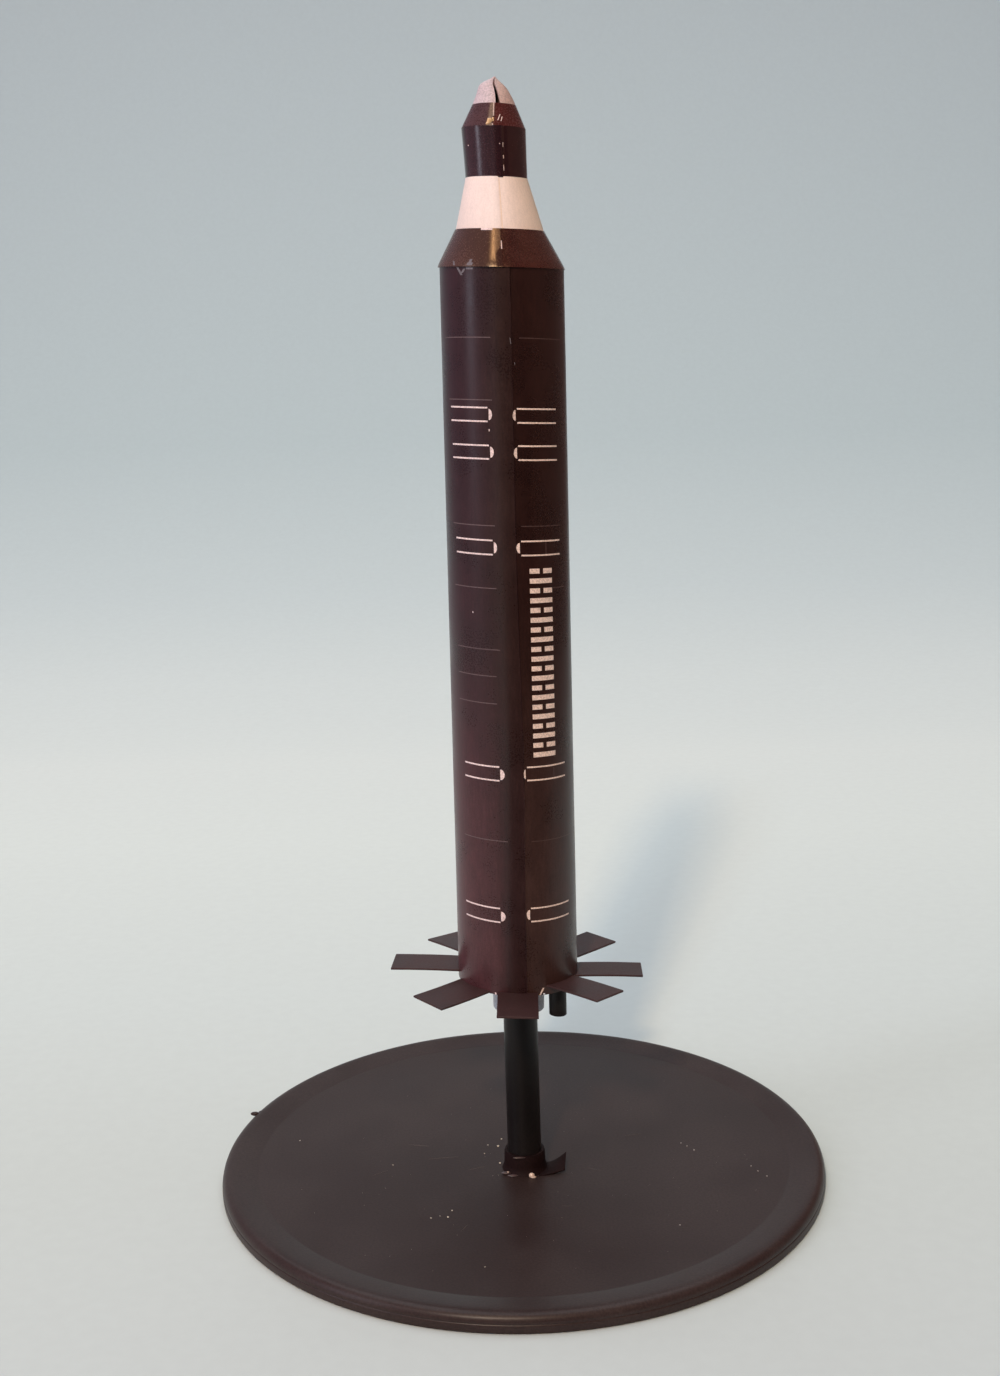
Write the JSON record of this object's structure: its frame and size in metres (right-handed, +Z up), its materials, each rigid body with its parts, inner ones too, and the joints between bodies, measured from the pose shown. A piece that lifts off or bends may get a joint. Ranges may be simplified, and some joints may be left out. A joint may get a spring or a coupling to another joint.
{
  "type": "card model space rocket on a display stand",
  "caption": "Small card model of a space rocket: a dark printed tube with a stepped nose and tail flaps, held upright by a black post on a round base.",
  "frame": {"origin": "on the floor, under the middle of the round base", "axes": "+Z up along the rocket, -Y towards the pictured side"},
  "size_m": [0.127, 0.127, 0.2193],
  "materials": {
    "base_plastic": "satin moulded plastic, dark brown-grey, with fine dust",
    "black_plastic": "satin black",
    "printed_card": "thin card printed glossy dark purple-brown, with fine pale printed lines",
    "brown_card": "thin card printed dark brown, half gloss",
    "white_card": "plain off-white card"
  },
  "bodies": {
    "root": {"base_disc": "base_plastic", "post_tube": "black_plastic", "foot_collar": "black_plastic", "nozzle_ring": "white_card", "side_pipe": "black_plastic", "tail_bulkhead": "brown_card", "body_tube": "printed_card", "shoulder_cone": "brown_card", "white_band": "white_card", "upper_tube": "printed_card", "nose_cone": "brown_card", "nose_tip": "white_card", "tail_flap_1": "brown_card", "tail_flap_2": "brown_card", "tail_flap_3": "brown_card", "tail_flap_4": "brown_card", "tail_flap_5": "brown_card", "tail_flap_6": "brown_card", "tail_flap_7": "brown_card", "tail_flap_8": "brown_card"}
  },
  "joints": []
}
